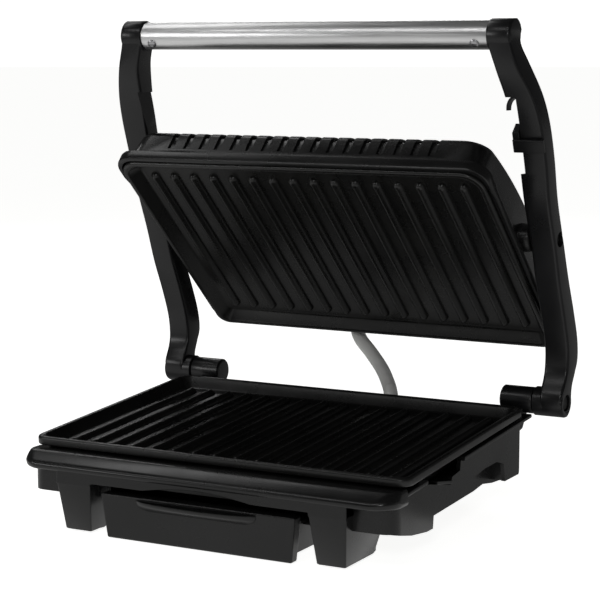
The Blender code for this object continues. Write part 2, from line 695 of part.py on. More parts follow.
# ---- lid ------------------------------------------------------------------------------------------
def lid_rings(inset):
    """Outline rings of the lid's shell from its edge to its crown, drawn in by inset."""
    def edge(y):
        return -2.5 if y < -70 else (1.2 if y > 76 else -1.4)

    def crown(base, rise):
        return lambda y: base + rise * (1.0 - (y / 92.0) ** 2)

    if inset == 0:
        return [
            ring_at(rounded(125.0, -90.0, 88.2, 11, 8), edge),
            ring_at(rounded(125.2, -90.6, 88.4, 11, 8), lambda y: edge(y) + 2.0),
            ring_at(rounded(125.1, -90.2, 88.2, 11, 8), lambda y: edge(y) + 6.6 if y < -70 else edge(y) + 4.4),
            ring_at(rounded(122.4, -87.8, 87.6, 10, 8), lambda y: edge(y) + 8.0 if y < -70 else edge(y) + 5.2),
            ring_at(rounded(118.0, -86.4, 84.0, 12, 8), crown(19.5, 14.5)),
            ring_at(rounded(113.0, -81.5, 79.0, 12, 9), crown(22.6, 14.0)),
            ring_at(rounded(100.0, -68.0, 66.0, 10, 9), crown(28.5, 10.8)),
            ring_at(rounded(80.0, -50.0, 50.0, 10, 9), 40.0),
        ]
    return [
        ring_at(rounded(80.0, -50.0, 50.0, 10, 9), 37.6),
        ring_at(rounded(98.0, -66.0, 64.0, 10, 9), crown(26.0, 10.0)),
        ring_at(rounded(115.2, -83.8, 81.4, 10, 8), crown(18.0, 13.5)),
        ring_at(rounded(119.8, -85.2, 85.2, 6, 6), 7.0),
        ring_at(rounded(122.3, -85.3, 85.4, 5.8, 5.8), 2.4),
        ring_at(rounded(122.5, -85.6, 85.4, 5.8, 5.8), edge),
    ]


SLOT_COUNT = 17
SLOT_PITCH = 11.0


def make_lid(mats, frame):
    """Lid shell with cooling slots in its front edge and a boss each side for the pivot pins."""
    lift = Vector((0.0, -PIVOT_S, -PIVOT_H))

    def place(bm):
        bmesh.ops.translate(bm, vec=lift, verts=bm.verts)
        return bm

    bm = bmesh.new()
    loft(bm, lid_rings(1) + lid_rings(0))
    shell = make("lid_housing", place(bm), mats["shell"], frame)
    slots = bmesh.new()
    for k in range(SLOT_COUNT):
        x = (k - (SLOT_COUNT - 1) / 2) * SLOT_PITCH
        side_slot = [(-95.0, 10.0), (-85.6, 10.0), (-85.4, 20.0), (-84.0, 22.4), (-84.0, 40.0), (-95.0, 40.0)]
        side_prism(slots, side_slot, x - 2.1, x + 2.1)
    modify(shell, place(slots), "DIFFERENCE", "lid_slots")
    for side, word in ((-1, "left"), (1, "right")):
        boss = bmesh.new()
        box(boss, (side * 116.5, PIVOT_S - 8.5, PIVOT_H - 8.0), (side * 127.3, PIVOT_S + 8.5, PIVOT_H + 8.5))
        modify(shell, place(boss), "UNION", f"lid_boss_{word}")
    bores = bmesh.new()
    for side in (-1, 1):
        turned(bores, [(side * 110.0, 2.9), (side * 130.0, 2.9)], "X", (0.0, PIVOT_S, PIVOT_H), 20)
    for x in (-9.0, 9.0):
        turned(bores, [(30.0, 3.3), (46.0, 3.3)], "Z", (x, -40.0, 0.0), 16)
    box(bores, (HOSE_LID_X - 9, 78.0, 13.0), (HOSE_LID_X + 9, 92.0, 19.0))
    modify(shell, place(bores), "DIFFERENCE", "lid_bores")

    box_x0, box_x1 = HOSE_LID_X - 15.0, HOSE_LID_X + 15.0
    bm = bmesh.new()
    side_prism(bm, [(87.4, 10.0), (104.5, 10.0), (104.5, 20.0), (101.5, 23.0), (84.5, 23.0)], box_x0, box_x1)
    cover = make("lid_cable_cover", place(bm), mats["shell"], frame)
    space = bmesh.new()
    box(space, (box_x0 + 2, 80.0, 12.0), (box_x1 - 2, 102.3, 21.0))
    modify(cover, place(space), "DIFFERENCE", "lid_cover_space")
    mouth = bmesh.new()
    turned(mouth, [(5.0, 6.0), (15.0, 6.0)], "Z", (HOSE_LID_X, HOSE_LID_S, 0.0))
    modify(cover, place(mouth), "DIFFERENCE", "lid_cover_mouth")

    for name, x, slot in (("power_lens", -9.0, "red"), ("ready_lens", 9.0, "green")):
        lens = bmesh.new()
        turned(lens, [(35.6, 3.0), (40.4, 3.0), (41.2, 1.8)], "Z", (x, -40.0, 0.0), 16)
        make(name, place(lens), mats[slot], frame)
        lamp = bmesh.new()
        turned(lamp, [(24.0, 1.4), (25.0, 2.2), (32.6, 2.2), (33.4, 1.0)], "Z", (x, -40.0, 0.0), 12)
        make(name.replace("lens", "lamp"), place(lamp), mats["ceramic"], frame)
    gland = bmesh.new()
    sleeve(gland, [(7.6, 6.8), (9.7, 7.4), (9.7, 5.7), (13.6, 5.7)], 4.85, "Z", (HOSE_LID_X, HOSE_LID_S, 0.0))
    make("hose_gland_lid", place(gland), mats["rubber"], frame)

    flat = bpy.data.objects.new("lid_plate_frame", None)
    flat.location = lift * MM
    flat.rotation_euler = (0.0, math.pi, 0.0)
    flat.parent = frame
    bpy.context.scene.collection.objects.link(flat)
    make_plate("upper_plate", mats["coat"], flat, RIB_HALF + 1.5, False)
    make_heater("upper_heater", mats["heater"], flat)
    make_reflector("upper_reflector", mats["sheet"], flat)


HOSE_LID_X = -24.0
HOSE_LID_S = 95.6


# ---- drip tray --------------------------------------------------------------------------------------
def make_tray(mats, frame):
    """Open basin with a wide front, slid in on the base's rails."""
    bm = bmesh.new()
    outer = (-58.6, 58.6, -95.0, -16.0)
    wedge(bm, (outer[0] + 3, outer[1] - 3, outer[2], outer[3] - 3), outer, 3.0, 25.6)
    tray = make("drip_tray", bm, mats["shell"], frame)
    flange = bmesh.new()
    box(flange, (-63.6, -84.0, 22.3), (63.6, -15.0, 24.0))
    modify(tray, flange, "UNION", "tray_flange")
    hollow = bmesh.new()
    wedge(hollow, (-53.6, 53.6, -93.0, -20.8), (-56.8, 56.8, -93.0, -17.8), 4.8, 30.0)
    modify(tray, hollow, "DIFFERENCE", "tray_hollow")
    face = bmesh.new()
    loft(face, [
        [(-60.0, -99.5, 0.8), (60.0, -99.5, 0.8), (60.0, -92.6, 0.8), (-60.0, -92.6, 0.8)],
        [(-62.9, -101.4, 26.9), (62.9, -101.4, 26.9), (62.9, -92.6, 26.9), (-62.9, -92.6, 26.9)],
    ])
    modify(tray, face, "UNION", "tray_face")
    grip = bmesh.new()
    rings = []
    for z, out, half in ((20.8, 0.8, 36.0), (23.2, 7.4, 39.0), (25.4, 8.0, 39.0)):
        ring = [(half * math.cos(math.pi * k / 12), -100.2 - out * math.sin(math.pi * k / 12), z) for k in range(13)]
        ring += [(-half, -97.0, z), (half, -97.0, z)]
        rings.append(ring)
    loft(grip, rings)
    modify(tray, grip, "UNION", "tray_grip")


# ---- hose between base and lid ------------------------------------------------------------------------
def make_hose(mats):
    """Wiring hose from the gland behind the base to the gland in the lid's back wall."""
    lid_origin = Vector((0.0, PLATE_Y + HINGE_Y + PIVOT_DY, HINGE_Z + PIVOT_DZ))
    turn = Matrix.Rotation(LID_ANGLE, 3, "X")

    def lid_point(height):
        return lid_origin + turn @ Vector((HOSE_LID_X, HOSE_LID_S - PIVOT_S, height - PIVOT_H))

    y = PLATE_Y
    bend = [
        (HOSE_X, y + HOSE_Y, 50.0), (HOSE_X, y + HOSE_Y, 54.6), (22.0, y + 103.6, 60.0), (15.6, y + 112.6, 64.4),
        (5.4, y + 125.0, 70.2), (-9.0, y + 138.4, 77.8), (-19.6, y + 145.4, 84.4), lid_point(5.6), lid_point(8.0),
    ]
    points = [Vector((HOSE_X, y + HOSE_Y, 46.0))] + smooth_path(bend, 3)[:-3] + [lid_point(8.0), lid_point(14.5)]
    return tube_along("wiring_hose", points, 4.5, mats["hose"], None)


# ---- assembly -----------------------------------------------------------------------------------------
def build():
    for obj in list(bpy.data.objects):
        bpy.data.objects.remove(obj, do_unlink=True)
    mats = all_materials()
    base = frame_at("base_frame", PLATE_Y, 0.0)
    plate = frame_at("lower_plate_frame", PLATE_Y, PLATE_Z, TILT)
    arms = frame_at("arm_axis", PLATE_Y + HINGE_Y, HINGE_Z)
    lid = frame_at("lid_axis", PIVOT_DY, PIVOT_DZ, LID_ANGLE, arms)

    make_base(mats, base)
    make_feet(mats, base)
    make_bottom_cover(mats, base)
    make_wiring(mats, base)
    make_cable_cover(mats, base)
    make_hinges(mats, base)
    make_plate("lower_plate", mats["coat"], plate, RIB_HALF, True)
    make_heater("lower_heater", mats["heater"], plate)
    make_reflector("lower_reflector", mats["sheet"], plate)
    make_tray(mats, base)
    make_arms(mats, arms)
    make_latch(mats, arms)
    make_lid(mats, lid)
    make_hose(mats)


build()
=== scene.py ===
"""Looks of the panini press: fine meshes, procedural materials, floor, lights and camera.

Lengths are in millimetres in the local frames below and become metres when a piece is made.
Frames: BASE stands on the ground below the lower plate's centre, PLATE is the tilted lower plate,
ARM sits on the hinge axis and LID is the lid's plate frame (its ribs face -Z).
"""
import json
import math

import bmesh
import bpy
from mathutils import Matrix, Vector


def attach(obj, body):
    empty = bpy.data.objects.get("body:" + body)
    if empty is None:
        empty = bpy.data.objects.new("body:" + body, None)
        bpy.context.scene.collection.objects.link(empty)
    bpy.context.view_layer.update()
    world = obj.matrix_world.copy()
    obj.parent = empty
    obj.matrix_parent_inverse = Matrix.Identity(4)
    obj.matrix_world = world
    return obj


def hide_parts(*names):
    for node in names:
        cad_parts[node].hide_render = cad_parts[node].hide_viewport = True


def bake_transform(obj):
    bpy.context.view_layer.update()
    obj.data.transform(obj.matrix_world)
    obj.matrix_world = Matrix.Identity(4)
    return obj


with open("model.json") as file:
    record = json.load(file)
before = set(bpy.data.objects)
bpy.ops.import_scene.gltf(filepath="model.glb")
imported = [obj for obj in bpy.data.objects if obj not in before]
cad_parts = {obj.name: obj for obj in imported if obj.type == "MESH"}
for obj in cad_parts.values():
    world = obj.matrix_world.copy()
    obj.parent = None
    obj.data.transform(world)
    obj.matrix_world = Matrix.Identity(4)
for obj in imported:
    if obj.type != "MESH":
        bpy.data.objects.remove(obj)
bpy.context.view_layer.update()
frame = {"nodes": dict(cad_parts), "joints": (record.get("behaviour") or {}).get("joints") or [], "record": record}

MM = 0.001
JOINTS = {joint["name"]: joint for joint in frame["joints"]}
NODES = frame["nodes"]

# ---- driving dimensions -------------------------------------------------------------------------
HINGE_Y = 101.3                 # hinge axis behind the lower plate's centre
HINGE_Z = 63.3
HINGE_AT = Vector(JOINTS["arm_hinge"]["pos_m"]) / MM
PIVOT_AT = Vector(JOINTS["lid_pivot"]["pos_m"]) / MM
PLATE_Y = HINGE_AT.y - HINGE_Y
PLATE_Z = 52.5
TILT = math.radians(3.8)
LID_ANGLE = math.radians(-42.6)
PIVOT_DY = (PIVOT_AT - HINGE_AT).y
PIVOT_DZ = (PIVOT_AT - HINGE_AT).z
PIVOT_S = -5.76                 # the lid's pivot in the lid's own frame
PIVOT_H = 14.68
PLATE_HX = 122.0
PLATE_HY = 84.5
PLATE_R = 8.0
RIB_COUNT = 16
RIB_PITCH = 14.0
RIB_HALF = 69.0
FLOOR = -3.0
RIM_TOP = 4.2
UPPER_FRONT = 87.4              # the upper plate's rim reaches further forward
UPPER_CORNER = 13.0
TUBE = Vector((0.0, -65.0, 222.4))
TUBE_R = 8.4
TUBE_END = 116.7
SCREW_X = 109.0
SCREW_TURN = math.radians(35)   # the handle screws look up and forward
HEAD_R = 9.5                    # the arm's head and the collar round the tube
HEAD_INNER = 117.0
HEAD_OUTER = 131.4
BODY_HX = 118.0
BODY_FRONT = -92.0
BODY_REAR = 90.0
WALL = 2.4
WALL_DROP = 4.2                 # from the plate's mid plane to the wall's top edge
KNUCKLE_R = 8.2
BARREL_R = 9.0
HINGE_BORE = 3.3
ARM_NOTCH_X = {1: 130.7, -1: 126.3}     # how far the notch reaches into the right and the left arm
ARM_NOTCH_Z = (142.0, 187.0)
CLIP_Y = -50.3
CLIP_Z = 160.0
NOTCH_COUNT = 17                # cooling notches over the lid's front
NOTCH_PITCH = 11.0
NOTCH_HALF = 2.2
LENS_X = 9.0
LENS_Y = -40.0
HOSE_X = 24.0
HOSE_Y = 101.0
HOSE_R = 4.5
HOSE_LID_X = -24.0
HOSE_LID_S = 95.6
FLOOR_SIZE = 30.0               # half the side, in metres
FLOOR_GLOW = 0.92
FRONT_CARD = 0.68               # brightness of the reflections from in front
SIDE_CARD = 0.2                 # and from the rest of the floor
DOME_GLOW = 1.1
WORLD_LIGHT = 0.06

BASE = Matrix.Translation((0.0, PLATE_Y, 0.0))
PLATE = Matrix.Translation((0.0, PLATE_Y, PLATE_Z)) @ Matrix.Rotation(TILT, 4, "X")
ARM = Matrix.Translation(HINGE_AT)
LID = (Matrix.Translation(PIVOT_AT) @ Matrix.Rotation(LID_ANGLE, 4, "X")
       @ Matrix.Translation((0.0, -PIVOT_S, -PIVOT_H)))
LID_PLATE = LID @ Matrix.Rotation(math.pi, 4, "Y")


# ---- materials ----------------------------------------------------------------------------------
NOISE_LOW = 0.3                 # a noise's values lie mostly between these two
NOISE_HIGH = 0.7


class Look:
    """Small helper that wires one procedural material."""

    def __init__(self, name, color, roughness, metallic=0.0, specular=0.5):
        self.mat = bpy.data.materials.new(name)
        self.mat.use_nodes = True
        self.tree = self.mat.node_tree
        self.shader = self.tree.nodes["Principled BSDF"]
        self.shader.inputs["Base Color"].default_value = (*color, 1.0)
        self.shader.inputs["Roughness"].default_value = roughness
        self.shader.inputs["Metallic"].default_value = metallic
        self.shader.inputs["Specular IOR Level"].default_value = specular
        self.coords = self.tree.nodes.new("ShaderNodeTexCoord").outputs["Object"]
        self.normal = None

    def noise(self, scale, detail, stretch=(1.0, 1.0, 1.0)):
        mapping = self.tree.nodes.new("ShaderNodeMapping")
        mapping.inputs["Scale"].default_value = stretch
        self.tree.links.new(self.coords, mapping.inputs["Vector"])
        node = self.tree.nodes.new("ShaderNodeTexNoise")
        node.inputs["Scale"].default_value = scale
        node.inputs["Detail"].default_value = detail
        node.inputs["Roughness"].default_value = 0.55
        self.tree.links.new(mapping.outputs["Vector"], node.inputs["Vector"])
        return node.outputs["Fac"]

    def spread(self, value, low, high):
        node = self.tree.nodes.new("ShaderNodeMapRange")
        node.inputs["From Min"].default_value = NOISE_LOW
        node.inputs["From Max"].default_value = NOISE_HIGH
        node.inputs["To Min"].default_value = low
        node.inputs["To Max"].default_value = high
        self.tree.links.new(value, node.inputs["Value"])
        return node.outputs["Result"]

    def vary_roughness(self, value, low, high):
        self.tree.links.new(self.spread(value, low, high), self.shader.inputs["Roughness"])

    def vary_color(self, value, dark, light):
        ramp = self.tree.nodes.new("ShaderNodeValToRGB")
        ramp.color_ramp.elements[0].position = NOISE_LOW
        ramp.color_ramp.elements[1].position = NOISE_HIGH
        ramp.color_ramp.elements[0].color = (*dark, 1.0)
        ramp.color_ramp.elements[1].color = (*light, 1.0)
        self.tree.links.new(value, ramp.inputs["Fac"])
        self.tree.links.new(ramp.outputs["Color"], self.shader.inputs["Base Color"])

    def bump(self, value, distance, strength):
        node = self.tree.nodes.new("ShaderNodeBump")
        node.inputs["Distance"].default_value = distance
        node.inputs["Strength"].default_value = strength
        self.tree.links.new(value, node.inputs["Height"])
        if self.normal is not None:
            self.tree.links.new(self.normal, node.inputs["Normal"])
        self.normal = node.outputs["Normal"]
        self.tree.links.new(self.normal, self.shader.inputs["Normal"])


def gloss_plastic(name, base, roughness, grain=900.0, depth=0.000006):
    """Black moulding: fine grain, slow waves from the mould, faint handling haze."""
    look = Look(name, base, roughness, specular=0.36)
    look.vary_roughness(look.noise(28.0, 5.0), roughness - 0.05, roughness + 0.07)
    light = tuple(c * 1.35 + 0.0004 for c in base)
    look.vary_color(look.noise(14.0, 3.0), base, light)
    look.bump(look.noise(9.0, 2.0), 0.0003, 0.2)
    look.bump(look.noise(grain, 2.0), depth, 0.5)
    return look.mat


def coating():
    """Sprayed non-stick coat: a fine orange-peel skin with a soft sheen."""
    look = Look("look_coating", (0.005, 0.005, 0.005), 0.3, specular=0.42)
    look.vary_roughness(look.noise(40.0, 4.0), 0.22, 0.34)
    look.vary_color(look.noise(18.0, 3.0), (0.004, 0.004, 0.004), (0.007, 0.007, 0.0065))
    look.bump(look.noise(1500.0, 3.0), 0.00001, 0.5)
    look.bump(look.noise(260.0, 2.0), 0.00002, 0.3)
    return look.mat


def brushed(name, color, roughness, stretch, scale):
    """Metal brushed along one direction."""
    look = Look(name, color, roughness, metallic=1.0)
    streaks = look.noise(scale, 4.0, stretch)
    look.vary_roughness(streaks, roughness - 0.08, roughness + 0.12)
    look.vary_color(look.noise(scale * 0.6, 3.0, stretch), tuple(c * 0.86 for c in color), color)
    look.bump(streaks, 0.00003, 0.5)
    return look.mat


def plated(name, color, roughness):
    """Plated or bright sheet metal with a fine pitted grain."""
    look = Look(name, color, roughness, metallic=1.0)
    look.vary_roughness(look.noise(300.0, 4.0), roughness - 0.06, roughness + 0.1)
    look.vary_color(look.noise(120.0, 3.0), tuple(c * 0.8 for c in color), color)
    look.bump(look.noise(700.0, 3.0), 0.00003, 0.4)
    return look.mat


def soft(name, base, light, roughness, specular=0.3):
    """Rubber, ceramic or painted sleeve: matte with a little mottling."""
    look = Look(name, base, roughness, specular=specular)
    look.vary_color(look.noise(60.0, 4.0), base, light)
    look.vary_roughness(look.noise(90.0, 4.0), roughness - 0.06, roughness + 0.06)
    look.bump(look.noise(1200.0, 3.0), 0.00005, 0.5)
    return look.mat


def lens(name, color):
    """Clear coloured plastic over an indicator lamp."""
    look = Look(name, color, 0.12, specular=0.6)
    look.vary_color(look.noise(80.0, 2.0), tuple(c * 0.7 for c in color), color)
    look.bump(look.noise(400.0, 2.0), 0.00003, 0.3)
    return look.mat


def glowing(name, glow, pale=0.9):
    """Plain sheet that glows, so that the floor stays white with soft contact shadows."""
    look = Look(name, (pale, pale, pale), 0.95, specular=0.0)
    look.vary_color(look.noise(2.0, 3.0), (pale * 0.98,) * 3, (pale,) * 3)
    look.shader.inputs["Emission Color"].default_value = (1.0, 1.0, 0.99, 1.0)
    look.shader.inputs["Emission Strength"].default_value = glow
    return look.mat


SHELL = gloss_plastic("look_shell", (0.0042, 0.0042, 0.0042), 0.24)
SATIN = gloss_plastic("look_satin", (0.0042, 0.0042, 0.0045), 0.28, grain=1100.0, depth=0.00001)
COAT = coating()
STEEL = brushed("look_steel", (0.84, 0.84, 0.84), 0.34, (0.02, 1.0, 1.0), 1500.0)
ZINC = plated("look_zinc", (0.52, 0.52, 0.53), 0.32)
DARK_ZINC = plated("look_black_zinc", (0.03, 0.03, 0.03), 0.4)
SHEET = plated("look_sheet", (0.6, 0.6, 0.6), 0.38)
HEATER = plated("look_heater", (0.2, 0.19, 0.18), 0.5)
HOSE = soft("look_hose", (0.5, 0.5, 0.49), (0.6, 0.6, 0.58), 0.34, specular=0.6)
RUBBER = soft("look_rubber", (0.014, 0.014, 0.014), (0.024, 0.024, 0.024), 0.75)
CERAMIC = soft("look_ceramic", (0.7, 0.68, 0.63), (0.8, 0.78, 0.73), 0.6)
RED = lens("look_red", (0.55, 0.03, 0.02))
GREEN = lens("look_green", (0.04, 0.4, 0.08))


# ---- mesh helpers -------------------------------------------------------------------------------
def piece(name, bm, matrix, mat, body, nodes=(), bevel=0.0, segments=3, angle=35.0):
    """Turn a bmesh in a local frame into a piece that rides on a body."""
    bm.transform(matrix)
    bmesh.ops.scale(bm, vec=(MM, MM, MM), verts=bm.verts)
    bmesh.ops.recalc_face_normals(bm, faces=bm.faces)
    mesh = bpy.data.meshes.new(name)
    bm.to_mesh(mesh)
    bm.free()
    mesh.materials.append(mat)
    mesh.shade_smooth()
    if not bevel:
        mesh.set_sharp_from_angle(angle=math.radians(angle))
    obj = bpy.data.objects.new(name, mesh)
    bpy.context.scene.collection.objects.link(obj)
    if bevel:
        mod = obj.modifiers.new("edges", "BEVEL")
        mod.width = bevel * MM
        mod.segments = segments
        mod.limit_method = "ANGLE"
        mod.angle_limit = math.radians(angle)
        mod.use_clamp_overlap = True
        mod.harden_normals = True
    if body:
        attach(obj, body)
    if nodes:
        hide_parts(*nodes)
    return obj


def cut(obj, bm, matrix):
    """Take a tool's volume out of a piece, ahead of its bevel."""
    bm.transform(matrix)
    bmesh.ops.scale(bm, vec=(MM, MM, MM), verts=bm.verts)
    bmesh.ops.recalc_face_normals(bm, faces=bm.faces)
    mesh = bpy.data.meshes.new("tool")
    bm.to_mesh(mesh)
    bm.free()
    tool = bpy.data.objects.new("tool", mesh)
    bpy.context.scene.collection.objects.link(tool)
    mod = obj.modifiers.new("cut", "BOOLEAN")
    mod.operation = "DIFFERENCE"
    mod.solver = "EXACT"
    mod.object = tool
    bpy.context.view_layer.update()
    graph = bpy.context.evaluated_depsgraph_get()
    done = bpy.data.meshes.new_from_object(obj.evaluated_get(graph))
    obj.modifiers.remove(mod)
    old = obj.data
    obj.data = done
    bpy.data.meshes.remove(old)
    bpy.data.objects.remove(tool)
    done.shade_smooth()
    done.set_sharp_from_angle(angle=math.radians(35))


def loft(bm, rings, close=False):
    """Skin closed rings of equal length; the ends are capped, or joined to each other with close."""
    loops = [[bm.verts.new(p) for p in ring] for ring in rings]
    count = len(loops[0])
    pairs = list(zip(loops, loops[1:]))
    if close:
        pairs.append((loops[-1], loops[0]))
    for lower, upper in pairs:
        for i in range(count):
            j = (i + 1) % count
            bm.faces.new((lower[i], lower[j], upper[j], upper[i]))
    if not close:
        bm.faces.new(reversed(loops[0]))
        bm.faces.new(loops[-1])


def box(bm, low, high):
    """Box between two corners."""
    (x0, y0, z0), (x1, y1, z1) = low, high
    ring = [(x0, y0), (x1, y0), (x1, y1), (x0, y1)]
    loft(bm, [[(x, y, z) for x, y in ring] for z in (z0, z1)])


def prism(bm, outline, x0, x1):
    """Outline in (y, z), run along X."""
    loft(bm, [[(x, y, z) for y, z in outline] for x in (x0, x1)])


def rounded(hx, y0, y1, r_front, r_rear, steps=14, sides=1):
    """Rounded rectangle as (x, y) points; sides adds points along the straight left and right edges."""
    points = []
    corners = (
        (hx - r_rear, y1 - r_rear, r_rear, 0),
        (-hx + r_rear, y1 - r_rear, r_rear, 90),
        (-hx + r_front, y0 + r_front, r_front, 180),
        (hx - r_front, y0 + r_front, r_front, 270),
    )
    for index, (cx, cy, radius, start) in enumerate(corners):
        for k in range(steps + 1):
            a = math.radians(start + 90 * k / steps)
            points.append((cx + radius * math.cos(a), cy + radius * math.sin(a)))
        if sides > 1 and index in (1, 3):
            x = -hx if index == 1 else hx
            ends = (y1 - r_rear, y0 + r_front) if index == 1 else (y0 + r_front, y1 - r_rear)
            for k in range(1, sides):
                points.append((x, ends[0] + (ends[1] - ends[0]) * k / sides))
    return points


def at_height(outline, height):
    """Lift (x, y) points to a height, or to a height that depends on y."""
    return [(x, y, height(y) if callable(height) else height) for x, y in outline]


def turned(bm, profile, axis, centre, sides=48, bore=0.0):
    """Solid turned about an axis; profile is (distance along, radius)."""
    stations = list(profile)
    if bore:
        stations = [(profile[0][0], bore)] + stations + [(profile[-1][0], bore)]
    rings = []
    for along, radius in stations:
        ring = []
        for k in range(sides):
            a = 2 * math.pi * k / sides
            u, v = radius * math.cos(a), radius * math.sin(a)
            point = {"X": (along, u, v), "Y": (u, along, v), "Z": (u, v, along)}[axis]
            ring.append(tuple(p + c for p, c in zip(point, centre)))
        rings.append(ring)
    loft(bm, rings, close=bool(bore))


def mirrored(bm, side):
    """The right-hand shape as it is, or flipped for the left with side -1."""
    for vert in bm.verts:
        vert.co.x *= side
    return bm


def between(a, b, c, d, t):
    """Catmull-Rom value at t between b and c, for numbers or vectors."""
    return 0.5 * (2 * b + (c - a) * t + (2 * a - 5 * b + 4 * c - d) * t ** 2
                  + (3 * b - a - 3 * c + d) * t ** 3)


def curve_through(points, spans):
    """Smooth curve through points of any dimension."""
    pts = [Vector(p) for p in points]
    pts = [2 * pts[0] - pts[1]] + pts + [2 * pts[-1] - pts[-2]]
    out = []
    for i in range(1, len(pts) - 2):
        a, b, c, d = pts[i - 1:i + 3]
        for k in range(spans):
            out.append(between(a, b, c, d, k / spans))
    out.append(pts[-2])
    return out


def swept(bm, path, radius, sides=28):
    """Round tube along a smooth path."""
    rings = []
    side = Vector((1.0, 0.0, 0.0))
    for i, point in enumerate(path):
        ahead = path[min(i + 1, len(path) - 1)] - path[max(i - 1, 0)]
        ahead.normalize()
        side = (side - ahead * side.dot(ahead)).normalized()
        up = ahead.cross(side)
        ring = []
        for k in range(sides):
            a = 2 * math.pi * k / sides
            ring.append(tuple(point + side * radius * math.cos(a) + up * radius * math.sin(a)))
        rings.append(ring)
    loft(bm, rings)


# ---- heating plates -----------------------------------------------------------------------------
def plate_shell(bm, front, front_r):
    """Rim with rounded lip, sloping inner wall and a flat channel floor."""
    def outline(inset):
        r_front = max(front_r - inset * 0.5, 3.5)
        r_rear = max(PLATE_R - inset * 0.5, 3.5)
        return rounded(PLATE_HX - inset, -front + inset, PLATE_HY - inset, r_front, r_rear)

    profile = [(9.0, -6.2), (6.0, -2.3), (3.5, -0.8), (0.6, -0.8), (0.15, -0.6), (0.0, -0.2)]
    profile += [(0.0, RIM_TOP - 1.5)]
    for k in range(1, 7):
        a = math.radians(90 * k / 6)
        profile.append((1.5 - 1.5 * math.cos(a), RIM_TOP - 1.5 + 1.5 * math.sin(a)))
    profile += [(2.4, RIM_TOP), (3.2, RIM_TOP - 0.3), (3.8, RIM_TOP - 1.0)]
    profile += [(7.4, FLOOR + 0.9), (8.4, FLOOR + 0.2), (9.6, FLOOR)]
    loft(bm, [at_height(outline(inset), height) for inset, height in profile])


def rib(bm, x):
    """Bar with a rounded crest and tapering ball ends."""
    steps = [(0.0, 0.12), (0.2, 0.45), (0.7, 0.72), (1.5, 0.9), (2.6, 1.06), (4.2, 1.04), (7.0, 1.0)]
    tip = RIB_HALF + 1.5
    stations = [(-tip + d, s) for d, s in steps]
    stations += [(tip - d, s) for d, s in reversed(steps)]
    rings = []
    for y, s in stations:
        height = (0.3 - FLOOR) * s
        ring = [(x - 3.4 * s, y, FLOOR - 0.5)]
        for k in range(17):
            a = math.radians(180 - 180 * k / 16)
            flank = 3.0 * math.copysign(abs(math.cos(a)) ** 1.25, math.cos(a))
            ring.append((x + s * flank, y, FLOOR - 0.1 + height * math.sin(a) ** 1.15))
        ring.append((x + 3.4 * s, y, FLOOR - 0.5))
        rings.append(ring)
    loft(bm, rings)


def make_plate(name, matrix, body, front, front_r):
    """Rim and floor with a row of ribs; front and front_r shape the rim's front."""
    bm = bmesh.new()
    plate_shell(bm, front, front_r)
    for k in range(RIB_COUNT):
        rib(bm, (k - (RIB_COUNT - 1) / 2) * RIB_PITCH)
    piece(f"{name}_fine", bm, matrix, COAT, body, [name], angle=50.0)


# ---- base ---------------------------------------------------------------------------------------
# Lower edge of the skirt and the catch's slot in the right wall, as (y, z).
SKIRT_EDGE = (
    (-110, 22), (-90, 21.5), (-70, 17), (-50, 14.5), (-42, 14.5), (-41, 21.7), (15, 23.8), (28.6, 25.3),
    (15.5, 32), (32, 33.9), (50, 34.3), (61, 30.8), (63, 19.8), (85, 19.8), (88, 24.1), (100, 24.1),
)
CATCH_OPENING = ((-54, 42), (-40, 39), (-18, 34.4), (-16, 38.6), (-5, 40), (-3.5, 50), (-54, 50))


def under_plate(drop):
    """Height as a function of y, parallel to the tilted plate and so far below it."""
    return lambda y: PLATE_Z - drop + math.tan(TILT) * y


wall_top = under_plate(WALL_DROP)


def base_walls():
    """Skirt round the base, open for the tray, the catch and the wiring."""
    outer = rounded(BODY_HX, BODY_FRONT, BODY_REAR, 9, 5)
    inner = rounded(BODY_HX - WALL, BODY_FRONT + WALL, BODY_REAR - WALL, 9 - WALL, 5 - WALL)
    bm = bmesh.new()
    loft(bm, [
        at_height(inner, wall_top), at_height(outer, wall_top),
        at_height(outer, 12.0), at_height(inner, 12.0),
    ], close=True)
    walls = piece("base_walls", bm, BASE, SHELL, "base", ["base_housing"])
    tool = bmesh.new()
    prism(tool, [(100, 5), (-110, 5)] + list(SKIRT_EDGE), -130, 130)
    cut(walls, tool, BASE)
    tool = bmesh.new()
    box(tool, (-70.4, -95, 10), (70.4, -88.0, 30.6))
    cut(walls, tool, BASE)
    tool = bmesh.new()
    prism(tool, CATCH_OPENING, 112, 124)
    cut(walls, tool, BASE)
    tool = bmesh.new()
    box(tool, (8, BODY_REAR - WALL - 2, 43.5), (30, BODY_REAR + 3, 49.5))
    cut(walls, tool, BASE)


def base_floor():
    """Inner floor parallel to the plate, seen through the tray bay."""
    bm = bmesh.new()
    inset = WALL + 0.1
    outline = rounded(BODY_HX - inset, BODY_FRONT + inset, BODY_REAR - inset, 6, 3)
    loft(bm, [at_height(outline, under_plate(17.0)), at_height(outline, under_plate(14.9))])
    piece("base_floor", bm, BASE, SHELL, "base")


